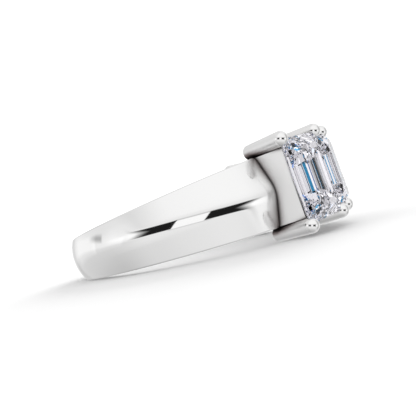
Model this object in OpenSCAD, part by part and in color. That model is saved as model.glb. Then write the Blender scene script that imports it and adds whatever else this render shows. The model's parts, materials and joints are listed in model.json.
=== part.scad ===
// Half eternity band with five emerald-cut stones in shared round prongs.
// The ring is drawn about its own centre, with the finger axis along Z and the
// stones towards +X, and is then laid on its side as it rests on a table.

/* [Band] */
// Inside diameter of the band, the finger size
bore_d = 17; // [16:0.1:19]
// Thickness of the band at its crest
band_t = 1.8; // [1.5:0.1:2.2]
// Half width of the band level with the finger axis
band_half_w = 2.29; // [2.1:0.01:2.4]
// Growth of the half width for each millimetre towards the stones
taper = 0.065; // [0.04:0.005:0.08]
// Half width of the band at the setting
shoulder_half_w = 2.6; // [2.5:0.01:2.65]
// Radius of the rounded crest across the band
crest_r = 2.25; // [1.5:0.05:3]
// Slope of the flanks beside the crest
flank_deg = 16; // [8:1:20]

/* [Stones] */
// Angle about the finger axis from one stone to the next
pitch_deg = 22.1; // [22:0.1:23]
// Length of a stone across the band
stone_l = 6.1; // [5.9:0.05:6.15]
// Width of a stone around the band
stone_w = 4.3; // [4:0.05:4.35]
// Corner cut of a stone, measured along its sides
stone_corner = 0.55; // [0.5:0.01:0.7]
// Distance of the tables from the finger axis
table_r = 12.45; // [12.3:0.05:12.5]
// Height of the crown above the girdle
crown_h = 0.6; // [0.5:0.05:0.7]
// Thickness of the girdle
girdle_h = 0.14; // [0.08:0.02:0.2]
// Depth of the pavilion below the girdle
pavilion_h = 2; // [1.8:0.05:2.1]
// Clearance between a stone and its seat
stone_gap = 0.03; // [0.02:0.01:0.05]

/* [Setting] */
// Diameter of a prong
prong_d = 1.1; // [1:0.05:1.15]
// Distance of the prong axes from the middle plane
prong_z = 3.08; // [3.05:0.01:3.1]
// Distance of the prong tips from the finger axis
prong_tip_r = 12.6; // [12.5:0.05:12.8]
// Distance of the lower prong ends from the finger axis
prong_foot_r = 8.6; // [8.55:0.05:9]
// Rounding of the lower prong ends
prong_round = 0.25; // [0.1:0.05:0.3]
// Rounding of the prong tips
tip_round = 0.45; // [0.3:0.05:0.45]
// Distance of the end walls from the axis of the outer stones
wall_out = 2.28; // [2.25:0.01:2.35]
// Height of the end walls below the girdle
wall_drop = 0.06; // [0.04:0.01:0.2]
// Thickness of the band that runs under the stones
base_t = 0.85; // [0.7:0.05:0.95]
// Thickness of the side rails between the prongs
rail_d = 0.7; // [0.5:0.05:0.8]
// Distance of the side rails from the finger axis
rail_r = 10.3; // [10.1:0.1:10.6]
// Thickness of the bars that cross between neighbouring stones
bar_t = 0.9; // [0.7:0.05:1.2]
// Length of the window below each stone, across the band
window_l = 2.8; // [2:0.1:3.2]
// Width of the window below each stone, around the band
window_w = 1.6; // [1:0.1:1.8]

/* [Hidden] */
stone_count = 5;
$fn = 48;
round_fn = 180;
far = 40;
bore_r = bore_d / 2;
band_r = bore_r + band_t;
prong_r = prong_d / 2;
girdle_top_r = table_r - crown_h;
girdle_low_r = girdle_top_r - girdle_h;
keel_r = girdle_low_r - pavilion_h;
wall_top_r = girdle_low_r - wall_drop;
bar_top_r = wall_top_r - 0.3;
base_r = bore_r + base_t;
wall_in = 1;
wall_mid = (wall_in + wall_out) / 2;
wall_half_w = shoulder_half_w - 0.05;
// How far walls and bars are sunk above the finger hole
sunk = 0.2;
end_stone_deg = (stone_count - 1) / 2 * pitch_deg;
end_prong_deg = stone_count / 2 * pitch_deg;

// Where the straight flanks leave the round crest, and where they reach the sides
crest_axis_r = band_r - crest_r;
crest_half_w = crest_r * sin(flank_deg);
crest_end_r = crest_axis_r + crest_r * cos(flank_deg);
roof_half_w = 4;
roof_low_r = crest_end_r - (roof_half_w - crest_half_w) * tan(flank_deg);
shoulder_x = (shoulder_half_w - band_half_w) / taper;

// Lower edge of the band opposite the stones: half width and distance from the axis
edge_r = (crest_end_r - (band_half_w - crest_half_w) * tan(flank_deg)) / (1 - taper * tan(flank_deg));
edge_half_w = band_half_w - taper * edge_r;

// At rest that edge and the feet of the two end prongs touch the table
foot_x = (prong_foot_r + prong_round) * cos(end_prong_deg);
foot_drop = prong_z + prong_r;
rest_deg = atan((foot_drop - edge_half_w) / (foot_x + edge_r));
axis_h = edge_half_w * cos(rest_deg) + edge_r * sin(rest_deg);
tip_round_r = prong_tip_r - tip_round;
rail_z = prong_z - prong_r + rail_d / 2 - 0.1;
// Its reach in front is at the rounded tips of the two lower middle prongs
tip_cos = cos(pitch_deg / 2) * cos(rest_deg);
tip_sin = sqrt(1 - tip_cos * tip_cos);
reach_front = tip_round_r * tip_cos + (prong_r - tip_round) * tip_sin + tip_round + prong_z * sin(rest_deg);
reach_back = crest_axis_r * cos(rest_deg) + crest_r;
centre_x = (reach_back - reach_front) / 2;

// Each level of a stone: distance from the finger axis and inset from the girdle
crown_levels = [[1, 0.8], [0.7, 0.52], [0.36, 0.24], [0, 0]];
pavilion_levels = [[0, 0], [0.3, 0.55], [0.66, 1.26], [1, 2.08]];

function level_r(top, height, share) = top + height * share;

// Outline of a step-cut stone at one level, seen along its own axis
function step_outline(inset, grow = 0) =
    let (
        a = stone_l / 2 - inset + grow,
        b = stone_w / 2 - inset + grow,
        c = min(stone_corner, 0.6 * b)
    )
    [
        [a - c, b], [c - a, b], [-a, b - c], [-a, c - b],
        [c - a, -b], [a - c, -b], [a, c - b], [a, b - c]
    ];

function stone_levels() = concat(
    [for (s = crown_levels) [level_r(girdle_top_r, crown_h, s[0]), s[1]]],
    [for (s = pavilion_levels) [level_r(girdle_low_r, -pavilion_h, s[0]), s[1]]]
);

// Lays the ring, drawn about its own centre, on the table
module at_rest() {
    translate([centre_x, 0, axis_h]) rotate([0, -rest_deg, 0]) children();
}

// Turns what is drawn for one stone to its place; the stone's own axis is local X
module at_stone(index) {
    rotate([0, 0, (index - (stone_count + 1) / 2) * pitch_deg]) children();
}

// One solid of eight-sided levels, from the table down to the keel
module stone_body() {
    levels = stone_levels();
    count = len(levels);
    corners = 8;
    points = [for (s = levels) for (p = step_outline(s[1])) [s[0], p[1], p[0]]];
    top = [[for (i = [0:corners - 1]) i]];
    bottom = [[for (i = [0:corners - 1]) count * corners - 1 - i]];
    sides = [
        for (k = [0:count - 2]) for (i = [0:corners - 1])
            let (j = (i + 1) % corners)
            [k * corners + i, (k + 1) * corners + i, (k + 1) * corners + j, k * corners + j]
    ];
    polyhedron(points = points, faces = concat(top, sides, bottom));
}

module stone(index) {
    color([0.88, 0.9, 0.96]) at_rest() at_stone(index) stone_body();
}

// Cross-section of the band, a round crest between two straight flanks
module band_section() {
    translate([crest_axis_r, 0]) circle(r = crest_r);
    polygon([
        [bore_r - 1, -roof_half_w], [roof_low_r, -roof_half_w], [crest_end_r, -crest_half_w],
        [crest_end_r, crest_half_w], [roof_low_r, roof_half_w], [bore_r - 1, roof_half_w]
    ]);
}

// The ring's outline seen from the side, widening towards the stones
module taper_limit() {
    back_w = band_half_w - taper * far / 2;
    rotate([90, 0, 0]) linear_extrude(height = far, center = true) polygon([
        [-far / 2, -back_w], [shoulder_x, -shoulder_half_w], [far / 2, -shoulder_half_w],
        [far / 2, shoulder_half_w], [shoulder_x, shoulder_half_w], [-far / 2, back_w]
    ]);
}

// The room between the two end walls, seen along the finger axis
module head_plan() {
    polygon([
        [0, 0],
        wall_point(bore_r - 1, -1), wall_point(far / 2, -1), [far, -far / 2],
        [far, far / 2], wall_point(far / 2, 1), wall_point(bore_r - 1, 1)
    ]);
}

// A point half way through an end wall, at height r in its stone's own frame
function wall_point(r, side) = [
    r * cos(end_stone_deg) - wall_mid * sin(end_stone_deg),
    side * (r * sin(end_stone_deg) + wall_mid * cos(end_stone_deg))
];

module shank() {
    intersection() {
        rotate_extrude($fn = round_fn) band_section();
        taper_limit();
    }
}

// Everything above the base band between the end walls
module head_room() {
    linear_extrude(height = far, center = true) difference() {
        head_plan();
        circle(r = base_r, $fn = round_fn);
    }
}

// A flat wall that closes the setting at one end
module end_wall(side) {
    rotate([0, 0, side * end_stone_deg]) translate([bore_r + sunk, 0, 0]) linear_extrude(
        height = 2 * wall_half_w, center = true
    ) translate([0, side > 0 ? wall_in : -wall_out]) square([wall_top_r - bore_r - sunk, wall_out - wall_in]);
}

// A bar under the joint of two neighbouring stones, tied to both prongs
module cross_bar(deg) {
    rotate([0, 0, deg]) translate([bore_r + sunk, -bar_t / 2, -prong_z])
        cube([bar_top_r - bore_r - sunk, bar_t, 2 * prong_z]);
}

// Half of a prong's outline, with its foot and its domed tip rounded
module prong_section() {
    low = prong_foot_r + prong_round;
    high = tip_round_r;
    translate([0, low]) square([prong_r, high - low]);
    translate([0, prong_foot_r]) square([prong_r - prong_round, prong_round]);
    translate([0, high]) square([prong_r - tip_round, tip_round]);
    intersection() {
        translate([prong_r - prong_round, low]) circle(r = prong_round);
        translate([0, prong_foot_r]) square([prong_r, prong_round]);
    }
    intersection() {
        translate([prong_r - tip_round, high]) circle(r = tip_round);
        translate([0, high]) square([prong_r, tip_round]);
    }
}

module prong(deg, z) {
    rotate([0, 0, deg]) translate([0, 0, z]) rotate([0, 90, 0]) rotate_extrude() prong_section();
}

// A round wire from the first pair of prongs to the last
module side_rail(z) {
    reach = far * [cos(end_prong_deg), sin(end_prong_deg)];
    intersection() {
        rotate_extrude($fn = round_fn) translate([rail_r, z]) circle(d = rail_d);
        linear_extrude(height = far, center = true)
            polygon([[0, 0], [reach[0], -reach[1]], [far, 0], reach]);
    }
}

// The hollow that a stone's pavilion and girdle need, as wide as its seat
module seat() {
    trough = concat(
        [for (s = pavilion_levels)
            [level_r(girdle_low_r, -pavilion_h, s[0]), stone_w / 2 - s[1] + stone_gap]],
        [[keel_r - 0.1, 0]]
    );
    mirrored = [for (i = [len(trough) - 2:-1:0]) [trough[i][0], -trough[i][1]]];
    top = [[band_r + 4, -stone_w / 2 - stone_gap], [band_r + 4, stone_w / 2 + stone_gap]];
    linear_extrude(height = 2 * (prong_z - prong_r) + 0.2, center = true)
        polygon(concat(top, trough, mirrored));
}

// The notch that a girdle cuts into its four prongs
module girdle_notch() {
    notch_h = girdle_h + 0.3;
    translate([girdle_low_r - 0.15, 0, 0]) rotate([0, 90, 0]) linear_extrude(height = notch_h)
        polygon(step_outline(0, stone_gap));
}

module window() {
    translate([bore_r - 1, -window_w / 2, -window_l / 2]) cube([base_t + 1.2, window_w, window_l]);
}

// The walls and bars that the stones sit on, with a hollow for each stone
module seats() {
    difference() {
        union() {
            for (side = [-1, 1]) end_wall(side);
            for (k = [1:stone_count - 1]) cross_bar((k - stone_count / 2) * pitch_deg);
        }
        for (i = [1:stone_count]) at_stone(i) seat();
    }
}

// The band with its finger hole, lowered under the stones, with a window below each
module band() {
    difference() {
        shank();
        head_room();
        for (i = [1:stone_count]) at_stone(i) window();
        cylinder(h = far, r = bore_r, center = true, $fn = round_fn);
    }
}

// Each pair of prongs stands between two stones and is notched for their girdles
module prongs() {
    difference() {
        for (k = [0:stone_count]) for (side = [-1, 1])
            prong((k - stone_count / 2) * pitch_deg, side * prong_z);
        for (i = [1:stone_count]) at_stone(i) girdle_notch();
    }
}

module mount() {
    color([0.82, 0.82, 0.83]) at_rest() {
        band();
        seats();
        for (side = [-1, 1]) side_rail(side * rail_z);
        prongs();
    }
}

mount();
for (i = [1:stone_count]) stone(i);
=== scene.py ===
"""A half eternity band on a pale floor: polished white metal with a row of step-cut stones.

The ring's metal is modelled in millimetres about the middle of its finger hole, with the finger
axis along Z and the stones towards +X. It is then laid over the frame's solid of the same metal.
"""

import json
import logging
import math
from collections.abc import Iterable
from dataclasses import dataclass, field
from enum import Enum

import bmesh
import bpy
from mathutils import Matrix, Vector


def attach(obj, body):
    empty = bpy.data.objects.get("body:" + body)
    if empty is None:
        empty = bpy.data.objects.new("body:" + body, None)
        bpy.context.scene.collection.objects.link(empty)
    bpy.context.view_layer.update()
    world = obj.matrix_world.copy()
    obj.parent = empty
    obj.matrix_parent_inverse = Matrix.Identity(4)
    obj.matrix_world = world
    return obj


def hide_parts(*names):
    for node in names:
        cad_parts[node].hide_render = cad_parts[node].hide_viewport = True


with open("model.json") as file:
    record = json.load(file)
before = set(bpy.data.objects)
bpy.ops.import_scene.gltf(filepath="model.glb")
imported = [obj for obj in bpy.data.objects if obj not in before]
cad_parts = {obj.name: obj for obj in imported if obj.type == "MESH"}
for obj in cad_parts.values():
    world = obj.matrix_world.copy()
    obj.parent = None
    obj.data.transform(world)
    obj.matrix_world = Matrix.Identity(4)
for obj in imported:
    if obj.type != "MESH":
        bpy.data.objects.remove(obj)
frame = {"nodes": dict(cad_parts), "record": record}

LOG = logging.getLogger("half_eternity_band")
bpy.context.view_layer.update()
MM = 0.001

Piece = bpy.types.Object
Colour = tuple[float, float, float]
Span = tuple[float, float]


# The ring's sizes and place

@dataclass(frozen=True)
class RingSizes:
    """The ring's driving dimensions, in millimetres and degrees."""

    bore_r: float = 8.5
    band_r: float = 10.294
    crest_r: float = 2.25
    flank_deg: float = 16.0
    band_half_w: float = 2.29
    taper: float = 0.065
    shoulder_half_w: float = 2.6
    edge_round: float = 0.12
    stone_count: int = 5
    pitch_deg: float = 22.1
    girdle_low_r: float = 11.71
    prong_r: float = 0.55
    prong_z: float = 3.08
    prong_tip_r: float = 12.6
    prong_foot_r: float = 8.6
    prong_foot_round: float = 0.25
    base_t: float = 0.85
    window_half_w: float = 1.4
    wall_out: float = 2.28
    wall_in: float = 1.0
    wall_top_r: float = 11.65
    rail_r: float = 10.3
    rail_wire_r: float = 0.35
    bar_t: float = 0.9
    sunk: float = 0.2

    @property
    def crest_half(self) -> float:
        """Half the height of the rounded crest, out to where the flat flanks begin."""
        return self.crest_r * math.sin(math.radians(self.flank_deg))

    def stone_deg(self, index: int) -> float:
        """Angle of a stone about the finger axis, from 0 for the first stone."""
        return (index - (self.stone_count - 1) / 2) * self.pitch_deg

    def prong_deg(self, index: int) -> float:
        """Angle of a pair of prongs about the finger axis, from 0 for the first pair."""
        return (index - self.stone_count / 2) * self.pitch_deg


class Side(Enum):
    """The two faces of the ring, along its finger axis."""

    UPPER = 1
    LOWER = -1


class RestingPlace:
    """Where the ring lies, read from the finger hole that the frame's record states."""

    def __init__(self, record: dict) -> None:
        """Works out the ring's place.

        Args:
            record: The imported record, with its mounts.
        """
        hole = next(m for m in record["mounts"] if m["name"] == "finger_hole")
        axis = Vector(hole["axis"])
        self.centre = Vector(hole["pos_m"])
        self.lean = math.atan2(-axis.x, axis.z)
        self.matrix = (
            Matrix.Translation(self.centre)
            @ Matrix.Rotation(-self.lean, 4, "Y")
            @ Matrix.Scale(MM, 4)
        )

    def lay(self, piece: Piece) -> None:
        """Puts a finished piece in its place, with the place in its mesh.

        Args:
            piece: A mesh object that is modelled about the ring's own centre, in millimetres.
        """
        piece.matrix_world = self.matrix @ piece.matrix_world
        Bench.apply_place(piece)


# The modelling bench

class Bench:
    """Short names for the steps of modelling by hand."""

    MERGED_WITHIN = 1e-4
    CUT_WITHIN = 1e-5

    @staticmethod
    def pick(piece: Piece) -> None:
        """Selects one object alone and makes it active."""
        bpy.ops.object.select_all(action="DESELECT")
        piece.select_set(True)
        bpy.context.view_layer.objects.active = piece

    @staticmethod
    def apply_place(piece: Piece) -> None:
        """Moves an object's place, turn and scale into its mesh."""
        Bench.pick(piece)
        bpy.ops.object.transform_apply(location=True, rotation=True, scale=True)

    @staticmethod
    def named(name: str) -> Piece:
        """Names the new primitive and moves its place into its mesh.

        Args:
            name: The piece's plain name.

        Returns:
            The object that was just added.
        """
        piece = bpy.context.object
        piece.name = piece.data.name = name
        Bench.apply_place(piece)
        return piece

    @staticmethod
    def edit(piece: Piece) -> bmesh.types.BMesh:
        """Opens a piece for editing with nothing selected.

        Args:
            piece: The object to edit.

        Returns:
            Its edit mesh.
        """
        Bench.pick(piece)
        bpy.ops.object.mode_set(mode="EDIT")
        bpy.ops.mesh.select_all(action="DESELECT")
        return bmesh.from_edit_mesh(piece.data)

    @staticmethod
    def close() -> None:
        """Ends the editing of a piece."""
        bpy.ops.object.mode_set(mode="OBJECT")

    @staticmethod
    def choose(piece: Piece, parts: Iterable, mode: str = "VERT") -> None:
        """Selects these vertices, edges or faces and nothing else.

        Args:
            piece: The object being edited.
            parts: The mesh elements to select.
            mode: VERT, EDGE or FACE.
        """
        bpy.ops.mesh.select_mode(type=mode)
        bpy.ops.mesh.select_all(action="DESELECT")
        for part in parts:
            part.select_set(True)
        bmesh.update_edit_mesh(piece.data)

    @staticmethod
    def cut(piece: Piece, point: Vector, outward: Vector) -> None:
        """Cuts a piece along a plane, takes the outer part away and closes the cut.

        Args:
            piece: The object to cut, in object mode.
            point: A point on the plane.
            outward: The plane's normal, towards the part that goes.
        """
        Bench.edit(piece)
        bpy.ops.mesh.select_all(action="SELECT")
        bpy.ops.mesh.bisect(
            plane_co=point,
            plane_no=outward,
            use_fill=True,
            clear_outer=True,
            threshold=Bench.CUT_WITHIN,
        )
        Bench.close()

    @staticmethod
    def round_edges(piece: Piece, width: float, least_deg: float, steps: int = 3) -> None:
        """Rounds the sharp edges and shades the piece smooth.

        Args:
            piece: The object to finish.
            width: How far each rounding reaches, in the piece's units.
            least_deg: The least angle of an edge that is rounded.
            steps: The number of facets across a rounding.
        """
        Bench.pick(piece)
        bpy.ops.object.shade_smooth()
        rounding = piece.modifiers.new("rounding", "BEVEL")
        rounding.width = width
        rounding.segments = steps
        rounding.limit_method = "ANGLE"
        rounding.angle_limit = math.radians(least_deg)
        rounding.harden_normals = True
        bpy.ops.object.modifier_apply(modifier=rounding.name)

    @staticmethod
    def outward(piece: Piece) -> None:
        """Merges doubled points and turns every face outwards."""
        Bench.edit(piece)
        bpy.ops.mesh.select_all(action="SELECT")
        bpy.ops.mesh.remove_doubles(threshold=Bench.MERGED_WITHIN)
        bpy.ops.mesh.normals_make_consistent(inside=False)
        Bench.close()

    @staticmethod
    def solder(name: str, pieces: list[Piece]) -> Piece:
        """Joins pieces into one object that keeps each one's finish.

        Args:
            name: The joined object's name.
            pieces: The pieces, of which the first takes in the others.

        Returns:
            The joined object.
        """
        Bench.pick(pieces[0])
        for piece in pieces:
            piece.select_set(True)
        bpy.ops.object.join()
        whole = bpy.context.object
        whole.name = whole.data.name = name
        return whole

    @staticmethod
    def turned_copy(piece: Piece, name: str, place: Matrix) -> Piece:
        """Copies a piece with a mesh of its own to another place.

        Args:
            piece: The piece to copy.
            name: The copy's name.
            place: The copy's place and turn.

        Returns:
            The copy.
        """
        twin = piece.copy()
        twin.data = piece.data.copy()
        twin.name = twin.data.name = name
        bpy.context.collection.objects.link(twin)
        twin.matrix_world = place
        Bench.apply_place(twin)
        return twin


# Shader maths

class Sock:
    """A node socket that takes part in Python expressions."""

    def __init__(self, board: "Board", socket: bpy.types.NodeSocket) -> None:
        """Wraps a socket of a board's node tree."""
        self.board = board
        self.socket = socket

    def _maths(self, operation: str, *values: "Sock | float") -> "Sock":
        """Adds a Math node for one operation and returns its result."""
        return self.board.node("ShaderNodeMath", {"operation": operation}, dict(enumerate(values)))

    def __add__(self, other: "Sock | float") -> "Sock":
        """Adds a socket or a number."""
        return self._maths("ADD", self, other)

    def __radd__(self, other: float) -> "Sock":
        """Adds to a number."""
        return self._maths("ADD", other, self)

    def __sub__(self, other: "Sock | float") -> "Sock":
        """Takes away a socket or a number."""
        return self._maths("SUBTRACT", self, other)

    def __rsub__(self, other: float) -> "Sock":
        """Takes this away from a number."""
        return self._maths("SUBTRACT", other, self)

    def __mul__(self, other: "Sock | float") -> "Sock":
        """Multiplies by a socket or a number."""
        return self._maths("MULTIPLY", self, other)

    def __rmul__(self, other: float) -> "Sock":
        """Multiplies a number."""
        return self._maths("MULTIPLY", other, self)

    def __truediv__(self, other: "Sock | float") -> "Sock":
        """Divides by a socket or a number."""
        return self._maths("DIVIDE", self, other)

    def at_least(self, other: "Sock | float") -> "Sock":
        """The larger of the two."""
        return self._maths("MAXIMUM", self, other)

    def below(self, other: "Sock | float") -> "Sock":
        """1 where this is the smaller and 0 elsewhere."""
        return self._maths("LESS_THAN", self, other)

    def beyond(self, other: "Sock | float") -> "Sock":
        """1 where this is the larger and 0 elsewhere."""
        return self._maths("GREATER_THAN", self, other)

    def angle_with(self, other: "Sock") -> "Sock":
        """The angle whose tangent is this over the other, in radians, all the way round."""
        return self._maths("ARCTAN2", self, other)

    def sine(self) -> "Sock":
        """The sine of an angle in radians."""
        return self._maths("SINE", self)

    def cosine(self) -> "Sock":
        """The cosine of an angle in radians."""
        return self._maths("COSINE", self)

    def rise_angle(self) -> "Sock":
        """The angle in radians whose sine this is."""
        return self._maths("ARCSINE", self)

    def root(self) -> "Sock":
        """The square root."""
        return self._maths("SQRT", self)

    def nearest(self) -> "Sock":
        """The nearest whole number."""
        return self._maths("ROUND", self)

    def size(self) -> "Sock":
        """The value without its sign."""
        return self._maths("ABSOLUTE", self)

    def ramp(self, low: float, high: float) -> "Sock":
        """Rises softly from 0 to 1 between two values, or falls where low is the larger.

        Args:
            low: The value where the result is 0.
            high: The value where the result is 1.

        Returns:
            The result of a smooth Map Range node.
        """
        if low > high:
            return 1 - self.ramp(high, low)
        return self.board.node(
            "ShaderNodeMapRange",
            {"interpolation_type": "SMOOTHSTEP"},
            {"Value": self, "From Min": low, "From Max": high},
        )


class Board:
    """A node tree with one way of adding nodes."""

    def __init__(self, tree: bpy.types.NodeTree) -> None:
        """Clears the tree.

        Args:
            tree: The node tree of a material or a world.
        """
        self.tree = tree
        tree.nodes.clear()

    @classmethod
    def of_finish(cls, name: str) -> tuple[bpy.types.Material, "Board"]:
        """Makes a new material and the board of its nodes.

        Args:
            name: The finish's name.

        Returns:
            The material, and its empty board.
        """
        finish = bpy.data.materials.new(name)
        finish.use_nodes = True
        return finish, cls(finish.node_tree)

    def node(
        self,
        kind: str,
        settings: dict | None = None,
        values: dict | None = None,
        out: int | str = 0,
    ) -> Sock:
        """Adds a node, sets it up and joins its sockets.

        Args:
            kind: The node's type.
            settings: The node's own settings, such as its operation.
            values: Values or links by the socket's name or number.
            out: The name or number of the output to return.

        Returns:
            The chosen output, or an empty wrap where the node has none.
        """
        made = self.tree.nodes.new(kind)
        for name, value in (settings or {}).items():
            if name == "stops":
                self._set_stops(made.color_ramp, value)
            elif name == "steps":
                made.color_ramp.interpolation = "CONSTANT"
                self._set_stops(made.color_ramp, value)
            else:
                setattr(made, name, value)
        for name, value in (values or {}).items():
            if isinstance(value, Sock):
                self.tree.links.new(value.socket, made.inputs[name])
            else:
                made.inputs[name].default_value = value
        return Sock(self, made.outputs[out] if made.outputs else None)

    def mix(self, share: Sock, first: Sock | Colour, second: Sock | Colour) -> Sock:
        """Mixes two colours.

        Args:
            share: How much of the second colour there is.
            first: The colour where the share is 0.
            second: The colour where the share is 1.

        Returns:
            The mixed colour.
        """
        values = {"Factor": share}
        for number, colour in ((6, first), (7, second)):
            values[number] = colour if isinstance(colour, Sock) else (*colour, 1.0)
        return self.node("ShaderNodeMix", {"data_type": "RGBA"}, values, out=2)

    @staticmethod
    def _set_stops(ramp: bpy.types.ColorRamp, stops: Iterable[tuple]) -> None:
        """Gives a ramp its stops.

        Args:
            ramp: The ramp, which has two stops when it is new.
            stops: Pairs of place and colour, or place and grey level, in rising order.
        """
        for number, (place, level) in enumerate(stops):
            stop = ramp.elements[number] if number < 2 else ramp.elements.new(1.0)
            stop.position = place
            stop.color = (*(level if isinstance(level, tuple) else (level,) * 3), 1.0)

    def stone_place(self, sizes: RingSizes, place: RestingPlace) -> tuple[Sock, Sock, Sock]:
        """Finds a point's place in its own stone.

        Args:
            sizes: The ring's dimensions.
            place: Where the ring lies.

        Returns:
            Millimetres out from the finger axis, across the stone and along it.
        """
        upright = Matrix.Rotation(place.lean, 3, "Y")
        about = self.node(
            "ShaderNodeMapping",
            {},
            {
                "Vector": self.node("ShaderNodeTexCoord", out="Object"),
                "Location": -(upright @ place.centre) / MM,
                "Rotation": (0, place.lean, 0),
                "Scale": (1 / MM,) * 3,
            },
        )
        x, y, z = (self.node("ShaderNodeSeparateXYZ", {}, {0: about}, out=k) for k in "XYZ")
        turn = y.angle_with(x) / math.radians(sizes.pitch_deg)
        own = (turn - turn.nearest()) * math.radians(sizes.pitch_deg)
        reach = (x * x + y * y).root()
        return reach * own.cosine(), reach * own.sine(), z

    def along(self, direction: Sock, axis: Vector) -> Sock:
        """How far a direction points along an axis."""
        return self.node(
            "ShaderNodeVectorMath",
            {"operation": "DOT_PRODUCT"},
            {0: direction, 1: axis},
            out="Value",
        )


# Finishes

@dataclass(frozen=True)
class PolishedMetal:
    """White metal with a mirror polish, duller in the corners that no wheel reaches, with painted
    shade darkening its colour in corners and creases.

    Openness is 1 in the open and 0.5 in a corner, and each pair of values from it gives where a
    change begins and where it is whole.
    """

    name: str = "polished_white_metal"
    colour: Colour = (0.87, 0.868, 0.866)
    # The colours that painted shade darkens the metal towards: brownish in the corners, near black
    # in the creases.
    corner: Colour = (0.12, 0.06, 0.055)
    crease: Colour = (0.03, 0.024, 0.024)
    roughness: float = 0.035
    wear: float = 0.03
    corner_roughness: float = 0.5
    corner_dull: Span = (0.97, 0.6)
    cloud_per_m: float = 260.0
    cloud_detail: float = 3.0
    look_round: int = 16
    # Painted shade: how far the darkening in corners and creases reaches, the openness where it
    # begins and is whole, and how deep it goes in the middle of the band's width and towards its
    # faces where the prongs stand.
    corner_reach_m: float = 0.0016
    corner_shade: Span = (0.94, 0.45)
    corner_depth: float = 0.8
    middle_depth: float = 0.8
    middle_half: Span = (0.2, 1.8)
    crease_reach_m: float = 0.0004
    crease_shade: Span = (0.92, 0.56)
    crease_depth: float = 0.97
    # Painted shadow of the stones' seat: a dark line along a wall's top edge at rim_r out from the
    # finger axis, deepening towards the lower face.
    rim_r: float = 0.0
    rim_width: float = 0.07
    rim_reach: Span = (2.6, -2.6)
    shank_r: float = 0.0
    shank_fade: float = 0.2
    shank_roughness: float = 0.28

    def _openness(self, board: Board, reach_m: float) -> Sock:
        """How freely a point of the metal sees the surroundings within reach."""
        return board.node(
            "ShaderNodeAmbientOcclusion",
            {"samples": self.look_round, "only_local": True},
            {"Distance": reach_m},
            out="AO",
        )

    def _painted_crease_shadow(self, board: Board, deep: Sock, along: Sock) -> Sock:
        """How far painted shade blackens the metal in its creases, and where a rim is set, a
        painted shadow line along the wall's top edge.

        Args:
            board: The material's nodes.
            deep: Millimetres out from the finger axis.
            along: Millimetres along the finger axis.

        Returns:
            The painted blackness, from 0 on open metal to nearly 1 in a crease or on the shadow
            line.
        """
        openness = self._openness(board, self.crease_reach_m)
        black = openness.ramp(*self.crease_shade) * self.crease_depth
        # Painted shadow along the wall's top edge where the stones sit, darker towards the lower
        # face.
        if self.rim_r:
            rim = deep.ramp(self.rim_r - self.rim_width, self.rim_r)
            black = black.at_least(rim * along.ramp(*self.rim_reach))
        return black

    def material(self, sizes: RingSizes, place: RestingPlace) -> bpy.types.Material:
        """Makes the metal's material, with painted shade in its base colour.

        Args:
            sizes: The ring's dimensions.
            place: Where the ring lies.

        Returns:
            A node material on Object coordinates.
        """
        finish, board = Board.of_finish(self.name)
        point = board.node("ShaderNodeTexCoord", out="Object")
        cloud = board.node(
            "ShaderNodeTexNoise",
            {},
            {"Vector": point, "Scale": self.cloud_per_m, "Detail": self.cloud_detail},
        )
        deep, _, along = board.stone_place(sizes, place)
        # Painted shade: the colour darkens towards the corner colour where the metal is enclosed,
        # deeper towards the faces where the prongs' dark undersides would be mirrored, and
        # blackens in the creases.
        openness = self._openness(board, self.corner_reach_m)
        ends = along.size().ramp(*self.middle_half) * (self.corner_depth - self.middle_depth)
        shade = openness.ramp(*self.corner_shade) * (ends + self.middle_depth)
        tone = board.mix(shade, self.colour, self.corner)
        tone = board.mix(self._painted_crease_shadow(board, deep, along), tone, self.crease)
        dull = openness.ramp(*self.corner_dull) * self.corner_roughness
        if self.shank_r:
            shank = deep.ramp(self.shank_r, self.shank_r - self.shank_fade)
            dull = dull.at_least(shank * self.shank_roughness)
        shader = board.node(
            "ShaderNodeBsdfPrincipled",
            {},
            {
                "Metallic": 1.0,
                "Base Color": tone,
                "Roughness": self.roughness + cloud * self.wear + dull,
            },
        )
        board.node("ShaderNodeOutputMaterial", {}, {"Surface": shader})
        return finish


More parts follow.
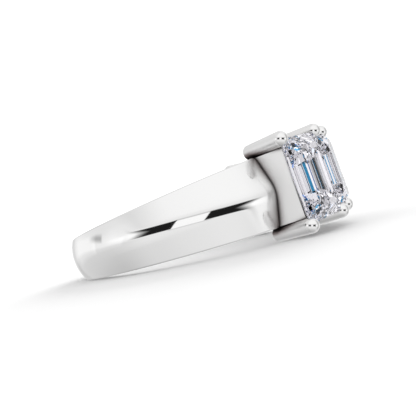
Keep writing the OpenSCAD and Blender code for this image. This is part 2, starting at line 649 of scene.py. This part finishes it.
@dataclass(frozen=True)
class ClearStone:
    """A colourless step-cut stone, whose pavilion throws back all the light that enters it, with
    painted stripes of coloured fire in the pavilion's mirror.
    """

    name: str = "clear_cut_stone"
    colour: Colour = (1.0, 1.0, 1.0)
    back: Colour = (0.965, 0.963, 0.969)
    refraction: float = 2.417
    glare: Colour = (0.25, 0.25, 0.25)
    # Painted fire: coloured stripes in the pavilion's mirror, from low to high across the stone
    # and within fire_reach along it, which show as coloured reflections through the crown.
    fires: tuple[tuple[float, float, Colour], ...] = (
        (0.54, 0.71, (0.0, 0.29, 0.55)),
        (-0.07, 0.05, (0.14, 0.24, 0.50)),
    )
    fire_reach: float = 1.15
    girdle_spare: float = 0.06

    def material(self, sizes: RingSizes, place: RestingPlace) -> bpy.types.Material:
        """Makes the stones' material.

        Args:
            sizes: The ring's dimensions.
            place: Where the ring lies.

        Returns:
            A node material, clear from outside and mirror-bright on the pavilion's inner side.
        """
        finish, board = Board.of_finish(self.name)
        deep, across, along = board.stone_place(sizes, place)
        inside = board.node("ShaderNodeNewGeometry", out="Backfacing")
        clear = board.node(
            "ShaderNodeBsdfPrincipled",
            {},
            {
                "Base Color": (*self.colour, 1.0),
                "Roughness": 0.0,
                "IOR": self.refraction,
                "Transmission Weight": 1.0,
                "Specular Tint": (*self.glare, 1.0),
            },
        )
        # The pavilion's mirror tint, with the painted fire stripes laid over it.
        tone = self.back
        for low, high, colour in self.fires:
            lit = across.beyond(low) * across.below(high) * along.size().below(self.fire_reach)
            tone = board.mix(lit, tone, colour)
        mirror = board.node(
            "ShaderNodeBsdfPrincipled", {}, {"Base Color": tone, "Metallic": 1.0, "Roughness": 0.0}
        )
        pavilion = deep.below(sizes.girdle_low_r + self.girdle_spare)
        shader = board.node("ShaderNodeMixShader", {}, {0: inside * pavilion, 1: clear, 2: mirror})
        board.node("ShaderNodeOutputMaterial", {}, {"Surface": shader})
        return finish


@dataclass(frozen=True)
class PaleFloorPaint:
    """A matt white floor."""

    name: str = "pale_floor_paint"
    colour: Colour = (0.93, 0.93, 0.93)

    def material(self) -> bpy.types.Material:
        """Makes the floor's material."""
        finish, board = Board.of_finish(self.name)
        shader = board.node("ShaderNodeBsdfDiffuse", {}, {"Color": (*self.colour, 1.0)})
        board.node("ShaderNodeOutputMaterial", {}, {"Surface": shader})
        return finish


# The ring

@dataclass
class Band:
    """The tapering band with its round crest, from one end of the setting round to the other."""

    sizes: RingSizes
    end_deg: float = 54.2
    steps: int = 230
    tall: float = 4.0
    circle_points: int = 180
    spare: float = 1e-3
    dome_from_deg: float = 109.0
    dome_to_deg: float = 156.0
    dome_sink: float = 0.014
    dome_loops: tuple[float, ...] = (0.8, 1.0, 1.2, 1.4)
    crest_within: float = 0.02
    sharp_deg: float = 40.0
    edge_steps: int = 4

    def _outline(self) -> Piece:
        """Draws the band's cross-section where the band begins.

        Returns:
            A closed outline, taller than the band, for the sides to be cut from.
        """
        s = self.sizes
        flank = math.radians(s.flank_deg)
        crest_axis = s.band_r - s.crest_r
        bpy.ops.mesh.primitive_circle_add(
            vertices=self.circle_points,
            radius=s.crest_r,
            location=(crest_axis, 0, 0),
            rotation=(math.pi / 2, 0, 0),
        )
        piece = Bench.named("band")
        mesh = Bench.edit(piece)
        half = s.crest_half + self.spare
        Bench.choose(piece, [v for v in mesh.verts if abs(v.co.z) > half or v.co.x < crest_axis])
        bpy.ops.mesh.delete(type="VERT")
        rise = self.tall - s.crest_half
        drop = -rise * math.tan(flank)
        inner = s.bore_r - (crest_axis + s.crest_r * math.cos(flank) + drop)
        for side in Side:
            mesh = bmesh.from_edit_mesh(piece.data)
            end = max(mesh.verts, key=lambda v, up=side.value: up * v.co.z)
            Bench.choose(piece, [end])
            for step in ((drop, 0, side.value * rise), (inner, 0, 0)):
                bpy.ops.mesh.extrude_region_move(TRANSFORM_OT_translate={"value": step})
        mesh = bmesh.from_edit_mesh(piece.data)
        Bench.choose(piece, [v for v in mesh.verts if len(v.link_edges) == 1])
        bpy.ops.mesh.edge_face_add()
        Bench.close()
        piece.rotation_euler.z = math.radians(self.end_deg)
        Bench.apply_place(piece)
        return piece

    def _drop(self, height: float) -> float:
        """How far the ridged outline has fallen from its crest at a height along the finger."""
        s = self.sizes
        flank = math.radians(s.flank_deg)
        if height < s.crest_half:
            return s.crest_r - math.sqrt(s.crest_r**2 - height**2)
        return s.crest_r * (1 - math.cos(flank)) + (height - s.crest_half) * math.tan(flank)

    def _round_back(self, piece: Piece) -> None:
        """Turns the ridge and its flat flanks into one dome towards the back of the band.

        Args:
            piece: The band with its sides cut, in object mode.
        """
        s = self.sizes
        Bench.edit(piece)
        for height in self.dome_loops:
            for side in Side:
                bpy.ops.mesh.select_all(action="SELECT")
                bpy.ops.mesh.bisect(plane_co=(0, 0, side.value * height), plane_no=(0, 0, 1))
        mesh = bmesh.from_edit_mesh(piece.data)
        for vert in mesh.verts:
            reach, height = math.hypot(vert.co.x, vert.co.y), abs(vert.co.z)
            around = abs(math.degrees(math.atan2(vert.co.y, vert.co.x)))
            share = (around - self.dome_from_deg) / (self.dome_to_deg - self.dome_from_deg)
            off = abs(s.band_r - self._drop(height) - reach)
            if share <= 0 or off > self.crest_within:
                continue
            share = min(share, 1.0)
            half = s.band_half_w + s.taper * vert.co.x
            dome_r = (half**2 + self._drop(half) ** 2) / (2 * self._drop(half))
            lift = self._drop(height) - dome_r + math.sqrt(dome_r**2 - min(height, half) ** 2)
            lift -= self.dome_sink
            grown = 1 + lift * share**2 * (3 - 2 * share) / reach
            vert.co.x *= grown
            vert.co.y *= grown
        bmesh.update_edit_mesh(piece.data)
        Bench.close()

    def build(self) -> Piece:
        """Spins the outline into the band and cuts its tapering sides.

        Returns:
            The finished band.
        """
        s = self.sizes
        piece = self._outline()
        Bench.edit(piece)
        bpy.ops.mesh.select_all(action="SELECT")
        bpy.ops.mesh.spin(
            steps=self.steps,
            angle=-math.radians(360 - 2 * self.end_deg),
            center=(0, 0, 0),
            axis=(0, 0, 1),
        )
        for end in (1, -1):
            mesh = bmesh.from_edit_mesh(piece.data)
            rim = [e for e in mesh.edges if len(e.link_faces) == 1 and e.verts[0].co.y * end > 0]
            Bench.choose(piece, rim, "EDGE")
            bpy.ops.mesh.edge_face_add()
        Bench.close()
        Bench.outward(piece)
        for side in Side:
            up = side.value
            Bench.cut(piece, Vector((0, 0, up * s.band_half_w)), Vector((-s.taper, 0, up)))
            Bench.cut(piece, Vector((0, 0, up * s.shoulder_half_w)), Vector((0, 0, up)))
        self._round_back(piece)
        Bench.round_edges(piece, s.edge_round, self.sharp_deg, self.edge_steps)
        return piece


@dataclass
class Gallery:
    """What carries the stones: the base band, end walls, cross bars and side rails."""

    sizes: RingSizes
    steps_a_stone: int = 16
    window_steps: int = 8
    spare_steps: int = 1
    base_round: float = 0.06
    base_sharp_deg: float = 50.0
    sharp_deg: float = 30.0
    wall_short: float = 0.05
    wall_cut_r: float = 10.44
    wall_slope: Span = (1.16, 1.21)
    wall_round: float = 0.035
    bar_low: float = 0.3
    bar_short: float = 0.1
    roof_place: Span = (11.35, 0.34)
    roof_slope: Span = (0.5, 1.0)
    bar_round: float = 0.05
    rail_sunk: float = 0.1
    rail_sides: int = 24
    rail_steps: int = 96
    rail_smooth_deg: float = 40.0

    def base_band(self) -> Piece:
        """Makes the thin band under the stones, with a window below each.

        Returns:
            The base band.
        """
        s = self.sizes
        step = s.pitch_deg / self.steps_a_stone
        count = s.stone_count * self.steps_a_stone + 2 * self.spare_steps
        start = math.radians(count * step / 2)
        bpy.ops.mesh.primitive_plane_add(
            size=1, location=(s.bore_r, 0, 0), rotation=(0, math.pi / 2, 0)
        )
        piece = Bench.named("base_band")
        mesh = Bench.edit(piece)
        Bench.choose(piece, [v for v in mesh.verts if v.co.y < 0])
        bpy.ops.mesh.delete(type="VERT")
        bpy.ops.mesh.select_all(action="SELECT")
        bpy.ops.mesh.subdivide(number_cuts=2)
        mesh = bmesh.from_edit_mesh(piece.data)
        heights = (-s.shoulder_half_w, -s.window_half_w, s.window_half_w, s.shoulder_half_w)
        for vert, height in zip(sorted(mesh.verts, key=lambda v: v.co.z), heights):
            vert.co = Vector((s.bore_r * math.cos(start), s.bore_r * math.sin(start), height))
        bpy.ops.mesh.select_all(action="SELECT")
        bpy.ops.mesh.spin(steps=count, angle=2 * start, center=(0, 0, 0), axis=(0, 0, 1))
        mesh = bmesh.from_edit_mesh(piece.data)
        half_window = step * (self.window_steps / 2)
        windows = []
        for face in mesh.faces:
            centre = face.calc_center_median()
            around = math.degrees(math.atan2(centre.y, centre.x))
            near = min(abs(around - s.stone_deg(i)) for i in range(s.stone_count))
            if abs(centre.z) < s.window_half_w and near < half_window:
                windows.append(face)
        Bench.choose(piece, windows, "FACE")
        bpy.ops.mesh.delete(type="FACE")
        Bench.close()
        wall = piece.modifiers.new("wall", "SOLIDIFY")
        wall.thickness = s.base_t
        wall.offset = 1.0
        wall.use_even_offset = True
        Bench.pick(piece)
        bpy.ops.object.modifier_apply(modifier=wall.name)
        Bench.outward(piece)
        Bench.round_edges(piece, self.base_round, self.base_sharp_deg)
        return piece

    def end_wall(self, name: str, side: int) -> Piece:
        """Makes the flat wall that closes one end of the row of stones.

        Args:
            name: The piece's name.
            side: 1 or -1, the end of the row.

        Returns:
            The wall, with its inner side cut back from the stone.
        """
        s = self.sizes
        low = s.bore_r + s.sunk
        bpy.ops.mesh.primitive_cube_add(
            size=1,
            location=((low + s.wall_top_r) / 2, side * (s.wall_in + s.wall_out) / 2, 0),
            scale=(
                s.wall_top_r - low,
                s.wall_out - s.wall_in,
                2 * (s.shoulder_half_w - self.wall_short),
            ),
        )
        piece = Bench.named(name)
        out, back = self.wall_slope
        Bench.cut(
            piece, Vector((self.wall_cut_r, side * s.wall_in, 0)), Vector((out, -side * back, 0))
        )
        Bench.outward(piece)
        Bench.round_edges(piece, self.wall_round, self.sharp_deg)
        piece.rotation_euler.z = math.radians(side * s.stone_deg(s.stone_count - 1))
        Bench.apply_place(piece)
        return piece

    def cross_bar(self, name: str, degrees: float) -> Piece:
        """Makes the bar below the joint of two neighbouring stones.

        Args:
            name: The piece's name.
            degrees: The joint's angle about the finger axis.

        Returns:
            The bar, roofed to fit between the two pavilions.
        """
        s = self.sizes
        low, high = s.bore_r + s.sunk, s.wall_top_r - self.bar_low
        bpy.ops.mesh.primitive_cube_add(
            size=1,
            location=((low + high) / 2, 0, 0),
            scale=(high - low, s.bar_t, 2 * s.prong_z - self.bar_short),
        )
        piece = Bench.named(name)
        (reach, half), (out, over) = self.roof_place, self.roof_slope
        for side in (1, -1):
            Bench.cut(piece, Vector((reach, side * half, 0)), Vector((out, side * over, 0)))
        Bench.outward(piece)
        Bench.round_edges(piece, self.bar_round, self.sharp_deg)
        piece.rotation_euler.z = math.radians(degrees)
        Bench.apply_place(piece)
        return piece

    def side_rail(self, name: str, side: Side) -> Piece:
        """Makes the round wire that ties the prongs together on one face of the ring.

        Args:
            name: The piece's name.
            side: The ring's face that the rail runs along.

        Returns:
            The rail.
        """
        s = self.sizes
        reach = math.radians(s.prong_deg(s.stone_count))
        height = side.value * (s.prong_z - s.prong_r + s.rail_wire_r - self.rail_sunk)
        bpy.ops.mesh.primitive_circle_add(
            vertices=self.rail_sides,
            radius=s.rail_wire_r,
            location=(s.rail_r, 0, height),
            rotation=(math.pi / 2, 0, 0),
            fill_type="NGON",
        )
        piece = Bench.named(name)
        piece.rotation_euler.z = reach
        Bench.apply_place(piece)
        Bench.edit(piece)
        bpy.ops.mesh.select_all(action="SELECT")
        bpy.ops.mesh.spin(
            steps=self.rail_steps, angle=2 * reach, center=(0, 0, 0), axis=(0, 0, 1)
        )
        Bench.close()
        Bench.outward(piece)
        Bench.pick(piece)
        bpy.ops.object.shade_smooth_by_angle(angle=math.radians(self.rail_smooth_deg))
        return piece

    def build(self) -> list[Piece]:
        """Makes every piece of the gallery.

        Returns:
            The pieces, in the order that they are made.
        """
        s = self.sizes
        made = [self.base_band()]
        made += [self.end_wall(f"end_wall_{n}", side) for n, side in ((1, -1), (2, 1))]
        made += [
            self.cross_bar(f"cross_bar_{k}", s.prong_deg(k)) for k in range(1, s.stone_count)
        ]
        made += [self.side_rail(f"side_rail_{side.name.lower()}", side) for side in Side]
        return made


@dataclass
class Prongs:
    """The round shared prongs, a pair at each joint and at each end of the row."""

    sizes: RingSizes
    around: int = 64
    foot_steps: int = 6
    tip_steps: int = 20
    tip_flat_r: float = 0.004

    def _pattern(self) -> Piece:
        """Makes one prong along X: a rod with a rounded foot and a domed tip.

        Returns:
            The prong that the others are copied from.
        """
        s = self.sizes
        bpy.ops.mesh.primitive_cylinder_add(
            vertices=self.around,
            radius=s.prong_r,
            depth=s.prong_tip_r - s.prong_foot_r,
            location=((s.prong_tip_r + s.prong_foot_r) / 2, 0, 0),
            rotation=(0, math.pi / 2, 0),
        )
        piece = Bench.named("prong")
        for height, width, steps in (
            (s.prong_foot_r, s.prong_foot_round, self.foot_steps),
            (s.prong_tip_r, s.prong_r - self.tip_flat_r, self.tip_steps),
        ):
            mesh = Bench.edit(piece)
            rim = [
                edge
                for edge in mesh.edges
                if all(abs(v.co.x - height) < Bench.MERGED_WITHIN for v in edge.verts)
            ]
            Bench.choose(piece, rim, "EDGE")
            bpy.ops.mesh.bevel(offset=width, segments=steps, profile=0.5, affect="EDGES")
            Bench.close()
        Bench.pick(piece)
        bpy.ops.object.shade_smooth()
        return piece

    def build(self) -> list[Piece]:
        """Copies the prong to every place.

        Returns:
            The prongs, in pairs from one end of the row to the other.
        """
        s = self.sizes
        pattern = self._pattern()
        made = []
        for k in range(s.stone_count + 1):
            for side in Side:
                turn = Matrix.Rotation(math.radians(s.prong_deg(k)), 4, "Z")
                place = turn @ Matrix.Translation((0, 0, side.value * s.prong_z))
                made.append(Bench.turned_copy(pattern, f"prong_{len(made) + 1}", place))
        bpy.data.objects.remove(pattern)
        return made


@dataclass
class Ring:
    """The whole ring, laid in its place and dressed."""

    sizes: RingSizes = field(default_factory=RingSizes)
    # Painted shade darkens each metal's colour in corners and creases: the band's most near the
    # prongs, the prongs' at their feet, and the walls' also along their top edge as the painted
    # shadow line of the stones' seat.
    metal: PolishedMetal = PolishedMetal(
        corner_reach_m=0.0026, corner_shade=(0.78, 0.5), middle_depth=0.28, crease_depth=0.88
    )
    satin: PolishedMetal = PolishedMetal(
        name="satin_white_metal",
        colour=(0.97, 0.967, 0.964),
        roughness=0.36,
        corner_reach_m=0.001,
        rim_r=11.63,
    )
    wire: PolishedMetal = PolishedMetal(
        name="prong_white_metal", corner_shade=(0.98, 0.59), crease_depth=0.86, shank_r=12.0
    )
    stone: ClearStone = field(default_factory=ClearStone)

    def build(self, place: RestingPlace) -> None:
        """Makes the metal's pieces and dresses them and the stones.

        Args:
            place: Where the ring lies.
        """
        metal, satin, wire = (
            kind.material(self.sizes, place) for kind in (self.metal, self.satin, self.wire)
        )
        finishes = {"end_wall": satin, "prong": wire}
        pieces = [Band(self.sizes).build()]
        pieces += Gallery(self.sizes).build() + Prongs(self.sizes).build()
        for piece in pieces:
            finish = finishes.get(piece.name.rstrip("_0123456789"), metal)
            piece.data.materials.clear()
            piece.data.materials.append(finish)
            LOG.info("%s: %d faces of %s", piece.name, len(piece.data.polygons), finish.name)
        metalwork = Bench.solder("metalwork", pieces)
        place.lay(metalwork)
        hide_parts("mount")
        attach(metalwork, "root")
        LOG.info("%s: %d pieces soldered together", metalwork.name, len(pieces))
        clear = self.stone.material(self.sizes, place)
        for number in range(1, self.sizes.stone_count + 1):
            stone = frame["nodes"][f"stone_{number}"]
            stone.data.materials.clear()
            stone.data.materials.append(clear)
            LOG.info("%s: dressed as %s", stone.name, self.stone.name)


# The studio

@dataclass(frozen=True)
class View:
    """The camera, as the photograph's perspective gives it, in millimetres and degrees."""

    eye: tuple[float, float, float] = (-2.936, -48.128, 2.887)
    target: tuple[float, float, float] = (0.06, -0.065, 3.529)
    roll_deg: float = 12.346
    lens: float = 50.0
    sensor: float = 36.0
    nearest_m: float = 0.001

    def axes(self) -> tuple[Vector, Vector, Vector]:
        """The camera's right, up and forward directions."""
        forward = (Vector(self.target) - Vector(self.eye)).normalized()
        level = forward.cross(Vector((0, 0, 1))).normalized()
        upright = level.cross(forward)
        roll = math.radians(self.roll_deg)
        up = upright * math.cos(roll) + level * math.sin(roll)
        return forward.cross(up), up, forward

    def build(self) -> None:
        """Adds the camera and makes it the scene's own."""
        right, up, forward = self.axes()
        turn = Matrix((right, up, -forward)).transposed().to_4x4()
        camera = bpy.data.cameras.new("camera")
        camera.lens = self.lens
        camera.sensor_width = self.sensor
        camera.clip_start = self.nearest_m
        holder = bpy.data.objects.new("camera", camera)
        bpy.context.collection.objects.link(holder)
        holder.matrix_world = Matrix.Translation(Vector(self.eye) * MM) @ turn
        bpy.context.scene.camera = holder
        LOG.info("camera: %.0f mm lens", self.lens)


@dataclass(frozen=True)
class Card:
    """A card of the studio, black, grey or white, as angles seen from the ring.

    The near side is sharp. The far side fades, leans outwards as it rises above the middle and
    flares as it falls below. The top droops towards the far side.
    """

    near_deg: float
    far_deg: float
    fade_deg: float
    lean: float = 0.0
    flare: float = 0.0
    droop: float = 0.0
    top_deg: float = 11.0
    foot_deg: float = -12.0
    edge_deg: float = 1.3
    level: float = 0.012

    def shade(self, around: Sock, height: Sock) -> Sock:
        """How much light the card takes away in a direction.

        Args:
            around: The direction's angle to the right of the camera, in degrees.
            height: The direction's angle above the camera's level, in degrees.

        Returns:
            The share of the light, from 0 beside the card, and below 0 for a bright card.
        """
        side = math.copysign(1.0, self.far_deg)
        near = around.ramp(self.near_deg, self.near_deg + side * self.edge_deg)
        leant = around - height.at_least(0) * (side * self.lean)
        leant = leant - (0 - height).at_least(0) * (side * self.flare)
        fade = side * self.fade_deg
        far = leant.ramp(self.far_deg + fade, self.far_deg - fade)
        beyond = ((around - self.near_deg) * side).at_least(0)
        drooped = height + beyond * self.droop
        over = drooped.ramp(self.top_deg + self.edge_deg, self.top_deg - self.edge_deg)
        under = height.ramp(self.foot_deg - self.edge_deg, self.foot_deg + self.edge_deg)
        return near * far * over * under * (1 - self.level)


@dataclass(frozen=True)
class Studio:
    """A white room with black, grey and bright cards round the ring, and a pale floor.

    The metal mirrors the walls and cards. The stones break up a room of their own, of long bands
    near the camera's level and patches above and below, with a haze over the later bounces.
    """

    view: View
    cards: tuple[Card, ...] = (
        Card(-16.5, -47.5, 10, lean=1.55, flare=0.5, droop=0.06),
        Card(13.0, 47, 9.5, lean=1.4, flare=0.95),
        Card(76, 118, 8, top_deg=48, foot_deg=-34, edge_deg=12, level=0.6),
        Card(-50, -84, 8, top_deg=5, foot_deg=-8, edge_deg=5, level=1.16),
        Card(-64, -101, 6, top_deg=0, foot_deg=-19, edge_deg=4, level=1.11),
        Card(-98, -138, 8, top_deg=1, foot_deg=-19, edge_deg=4, level=1.19),
        Card(-142, -172, 8, top_deg=30, foot_deg=-70, edge_deg=7, level=0.86),
        Card(54, 92, 8, top_deg=8, foot_deg=-7, edge_deg=4, level=1.12),
        Card(-90, -105, 7, top_deg=1.4, foot_deg=-3.4, edge_deg=2.4, level=0.53),
        Card(-20, 22, 4, top_deg=12.4, foot_deg=8.8, edge_deg=1.5, level=0.64),
        Card(-20, 22, 4, top_deg=-12.6, foot_deg=-14.8, edge_deg=1.4, level=0.7),
    )
    wall_levels: tuple[Span, ...] = (
        (-90, 0.50), (-60, 0.62), (-48, 0.75), (-36, 0.86), (-24, 0.915), (-15, 0.92),
        (-11, 1.09), (9, 1.09), (13, 0.91), (18, 0.95), (25, 1.03), (40, 1.06), (90, 1.02),
    )
    full_level: float = 1.25
    left_fall_deg: Span = (-32, -84)
    left_fall: float = 0.2
    right_fall_deg: Span = (40, 80)
    right_fall: float = 0.1
    backdrop: float = 1.3
    floor_light: float = 0.93
    floor_half_m: float = 2.0
    bounces: int = 24
    lamp_strength: float = 1.9
    lamp_width_deg: float = 35.0
    lamp_tilt_deg: float = 68.0
    lamp_turn_deg: float = 22.0
    patches: float = 1.6
    deal: float = 6.85
    patches_from_deg: Span = (20, 26)
    haze_from: Span = (7.5, 10.0)
    haze_share: float = 0.68
    haze_level: float = 0.8
    sparkle_level: float = 1.9
    cast: Colour = (1.0, 0.99, 1.025)
    room_bands: tuple[Span, ...] = (
        (-180, 0.95), (-85, 1.00), (-72, 0.86), (-60, 0.70), (-50, 0.30), (-41, 0.03),
        (-27, 0.015), (-17, 0.35), (-7, 0.75), (4, 1.00), (17, 0.85), (27, 1.15),
        (33, 0.50), (40, 0.34), (45, 0.04), (46.5, 0.04), (48, 1.18), (60, 1.08), (88, 1.00),
        (104, 1.20), (108, 0.80), (114, 0.80), (122, 1.08), (128, 0.78), (133, 0.05),
        (145, 0.06), (160, 0.80), (180, 0.95),
    )
    glints: tuple[tuple[float, Colour], ...] = (
        (0.00, (0.006, 0.006, 0.007)),
        (0.27, (0.08, 0.08, 0.088)),
        (0.32, (0.36, 0.357, 0.375)),
        (0.48, (0.54, 0.535, 0.555)),
        (0.70, (0.85, 0.85, 0.87)),
        (0.84, (1.00, 1.00, 1.00)),
        (0.99, (0.62, 0.68, 0.84)),
    )

    def _walls(self, board: Board, around: Sock, height: Sock) -> Sock:
        """The brightness of the white walls in a direction.

        Args:
            board: The world's nodes.
            around: The direction's angle to the right of the camera, in degrees.
            height: The direction's angle above the camera's level, in degrees.

        Returns:
            The walls' level, which falls off to both sides.
        """
        stops = [((deg + 90) / 180, level / self.full_level) for deg, level in self.wall_levels]
        level = board.node("ShaderNodeValToRGB", {"stops": stops}, {0: (height + 90) / 180})
        left = around.ramp(*self.left_fall_deg) * self.left_fall
        right = around.ramp(*self.right_fall_deg) * self.right_fall
        return level * (1 - left) * (1 - right) * self.full_level

    def _sparkle(self, board: Board, direction: Sock, around: Sock, height: Sock) -> Sock:
        """The room that the stones break up.

        Args:
            board: The world's nodes.
            direction: The direction of sight.
            around: The direction's angle to the right of the camera, in degrees.
            height: The direction's angle above the camera's level, in degrees.

        Returns:
            A colour, in long bands at the camera's level and in patches above and below.
        """
        patch = board.node(
            "ShaderNodeTexVoronoi",
            {"feature": "F1", "voronoi_dimensions": "4D"},
            {"Vector": direction, "W": self.deal, "Scale": self.patches, "Randomness": 1.0},
            out="Color",
        )
        lot = board.node("ShaderNodeSeparateColor", {}, {0: patch}, out=0)
        glint = board.node("ShaderNodeValToRGB", {"steps": self.glints}, {0: lot})
        stops = [((deg + 180) / 360, self._tinted(level)) for deg, level in self.room_bands]
        band = board.node("ShaderNodeValToRGB", {"stops": stops}, {0: (around + 180) / 360})
        shine = board.mix(height.size().ramp(*self.patches_from_deg), band, glint)
        bounces = board.node("ShaderNodeLightPath", out="Ray Depth")
        hazy = bounces.ramp(*self.haze_from) * self.haze_share
        return board.mix(hazy, shine, self._tinted(self.haze_level))

    def _tinted(self, level: float) -> Colour:
        """A grey level with the stones' faint lavender cast, scaled to fit a ramp."""
        return tuple(level * share / self.sparkle_level for share in self.cast)

    def light(self) -> None:
        """Makes the world of walls and cards, and one soft lamp for the floor."""
        world = bpy.data.worlds.new("studio")
        bpy.context.scene.world = world
        world.use_nodes = True
        board = Board(world.node_tree)
        right, up, forward = self.view.axes()
        direction = board.node("ShaderNodeTexCoord", out="Generated")
        across, back = board.along(direction, right), board.along(direction, -forward)
        around = across.angle_with(back) * math.degrees(1)
        height = board.along(direction, up).rise_angle() * math.degrees(1)
        level = self._walls(board, around, height)
        for card in self.cards:
            level = level * (1 - card.shade(around, height))
        seen = board.node("ShaderNodeLightPath", out="Is Camera Ray")
        matt = board.node("ShaderNodeLightPath", out="Is Diffuse Ray")
        level = matt * self.floor_light + (1 - matt) * level
        level = seen * self.backdrop + (1 - seen) * level
        room = board.node("ShaderNodeBackground", {}, {"Color": (1, 1, 1, 1), "Strength": level})
        through = board.node("ShaderNodeLightPath", out="Is Transmission Ray")
        broken = self._sparkle(board, direction, around, height)
        sparkle = board.node(
            "ShaderNodeBackground", {}, {"Color": broken, "Strength": self.sparkle_level}
        )
        shine = board.node("ShaderNodeMixShader", {}, {0: through, 1: room, 2: sparkle})
        board.node("ShaderNodeOutputWorld", {}, {"Surface": shine})
        lamp = bpy.data.lights.new("back_lamp", "SUN")
        lamp.energy = self.lamp_strength
        lamp.angle = math.radians(self.lamp_width_deg)
        holder = bpy.data.objects.new("back_lamp", lamp)
        bpy.context.collection.objects.link(holder)
        holder.rotation_euler.x = -math.radians(self.lamp_tilt_deg)
        holder.rotation_euler.z = -math.radians(self.lamp_turn_deg)
        holder.visible_glossy = False
        holder.visible_transmission = False

    def floor(self) -> None:
        """Lays the pale floor."""
        bpy.ops.mesh.primitive_plane_add(size=2 * self.floor_half_m, location=(0, 0, 0))
        floor = Bench.named("floor")
        floor.data.materials.append(PaleFloorPaint().material())
        floor.visible_glossy = False
        floor.visible_transmission = False
        LOG.info("floor: %.0f m square", 2 * self.floor_half_m)

    def build(self) -> None:
        """Sets up the light and the floor."""
        scene = bpy.context.scene
        scene.view_settings.view_transform = "Standard"
        scene.cycles.max_bounces = scene.cycles.glossy_bounces = self.bounces
        scene.cycles.transmission_bounces = self.bounces
        self.light()
        self.floor()


def main() -> None:
    """Builds the ring and the studio."""
    logging.basicConfig(level=logging.INFO, format="%(name)s: %(message)s")
    view = View()
    view.build()
    Ring().build(RestingPlace(frame["record"]))
    Studio(view).build()


if __name__ == "__main__":
    main()
